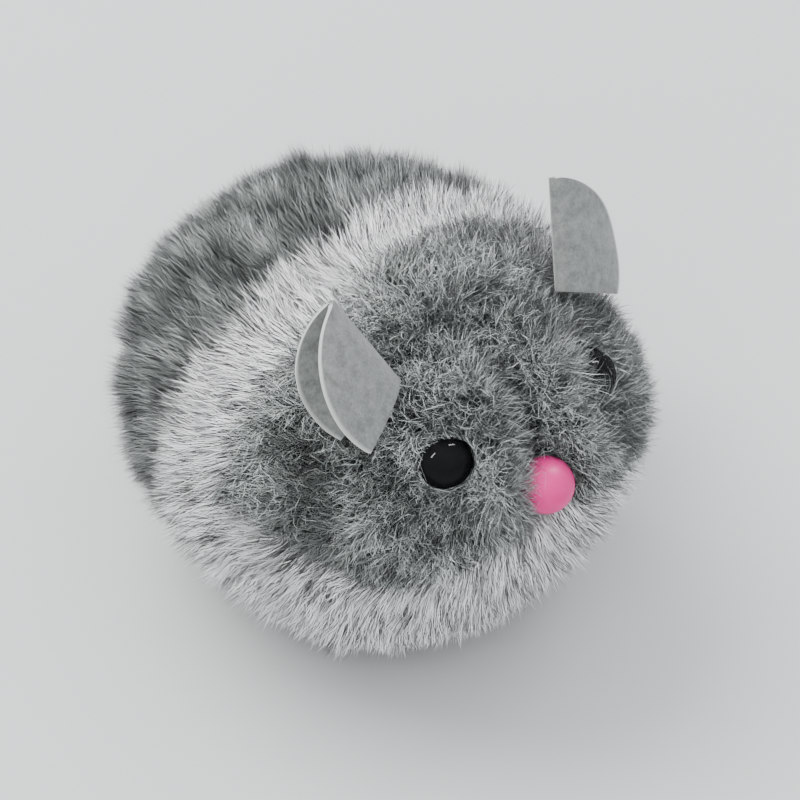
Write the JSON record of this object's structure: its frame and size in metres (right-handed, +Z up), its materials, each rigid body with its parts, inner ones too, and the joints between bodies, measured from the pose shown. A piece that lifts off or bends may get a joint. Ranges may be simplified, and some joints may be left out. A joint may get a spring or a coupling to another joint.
{
  "type": "clockwork plush mouse",
  "caption": "Plush toy mouse wound by a key on its flank, with a spring-driven gear train, driven wheels under the belly, a trailing wheel and an eccentric shaker weight.",
  "frame": {"origin": "on the ground, under the middle of the outline", "axes": "+Z up, the nose points along -Y, +X is the side with the winding key, the mouse's left"},
  "size_m": [0.0924, 0.094, 0.0868],
  "materials": {
    "plush_grey": "long grey pile, swept back",
    "plush_white": "long white pile",
    "binding_tape": "woven tape",
    "filling": "loose polyester fibre",
    "felt": "pressed felt",
    "eye_bead": "polished",
    "nose_button": "satin",
    "washer_plastic": "moulded",
    "chassis_plastic": "moulded, fine texture",
    "housing_plastic": "moulded",
    "steel": "plated",
    "spring_steel": "blued",
    "brass": "stamped",
    "zinc": "die cast",
    "key_plastic": "moulded",
    "hub_plastic": "moulded",
    "tyre_rubber": "matt"
  },
  "bodies": {
    "body": {"rump_panel": "plush_grey", "collar_band": "plush_white", "head_panel": "plush_grey", "chin_bib": "plush_white", "hem_binding": "binding_tape", "head_filling": "filling", "back_filling": "filling", "ear_right": "felt", "ear_left": "felt", "eye_right": "eye_bead", "eye_left": "eye_bead", "eye_washer_right": "washer_plastic", "eye_washer_left": "washer_plastic", "nose": "nose_button", "nose_washer": "washer_plastic", "chassis": "chassis_plastic", "housing": "housing_plastic", "housing_screws": "steel", "plate_right": "steel", "plate_left": "steel", "plate_pillars": "brass", "spring_post": "brass", "mainspring": "spring_steel", "key_bezel": "chassis_plastic", "trailing_axle": "steel"},
    "winding_shaft": {"winding_arbor": "steel", "ratchet_wheel": "steel", "winding_key": "key_plastic"},
    "great_wheel_set": {"great_wheel": "brass", "leaf_click": "spring_steel"},
    "middle_set": {"middle_arbor": "steel", "middle_pinion": "brass", "middle_wheel": "brass"},
    "drive_wheels": {"drive_axle": "steel", "drive_pinion": "brass", "drive_hub_right": "hub_plastic", "drive_hub_left": "hub_plastic", "drive_tyre_right": "tyre_rubber", "drive_tyre_left": "tyre_rubber"},
    "shaker_set": {"shaker_arbor": "steel", "shaker_pinion": "steel", "shaker_weight": "zinc"},
    "trailing_wheel": {"trailing_hub": "hub_plastic", "trailing_tyre": "tyre_rubber"}
  },
  "joints": [
    {"name": "key_turn", "type": "hinge", "parent": "body", "child": "winding_shaft", "pos_m": [0, 0.01187, 0.025], "axis": [1, 0, 0], "range_deg": [0, 1440]},
    {"name": "great_wheel_spin", "type": "hinge", "parent": "body", "child": "great_wheel_set", "pos_m": [0, 0.01187, 0.025], "axis": [1, 0, 0], "continuous": true},
    {"name": "middle_spin", "type": "hinge", "parent": "body", "child": "middle_set", "pos_m": [0, -0.00302, 0.0179], "axis": [1, 0, 0], "continuous": true},
    {"name": "drive_wheels_spin", "type": "hinge", "parent": "body", "child": "drive_wheels", "pos_m": [0, -0.01049, 0.0085], "axis": [1, 0, 0], "continuous": true},
    {"name": "shaker_spin", "type": "hinge", "parent": "body", "child": "shaker_set", "pos_m": [0, -0.01004, 0.02688], "axis": [1, 0, 0], "continuous": true},
    {"name": "trailing_wheel_spin", "type": "hinge", "parent": "body", "child": "trailing_wheel", "pos_m": [0, 0.01937, 0.0066], "axis": [1, 0, 0], "continuous": true}
  ],
  "couplings": [
    {"joint": "middle_spin", "follows": "great_wheel_spin", "ratio": -4},
    {"joint": "drive_wheels_spin", "follows": "great_wheel_spin", "ratio": 12},
    {"joint": "shaker_spin", "follows": "great_wheel_spin", "ratio": 15}
  ]
}
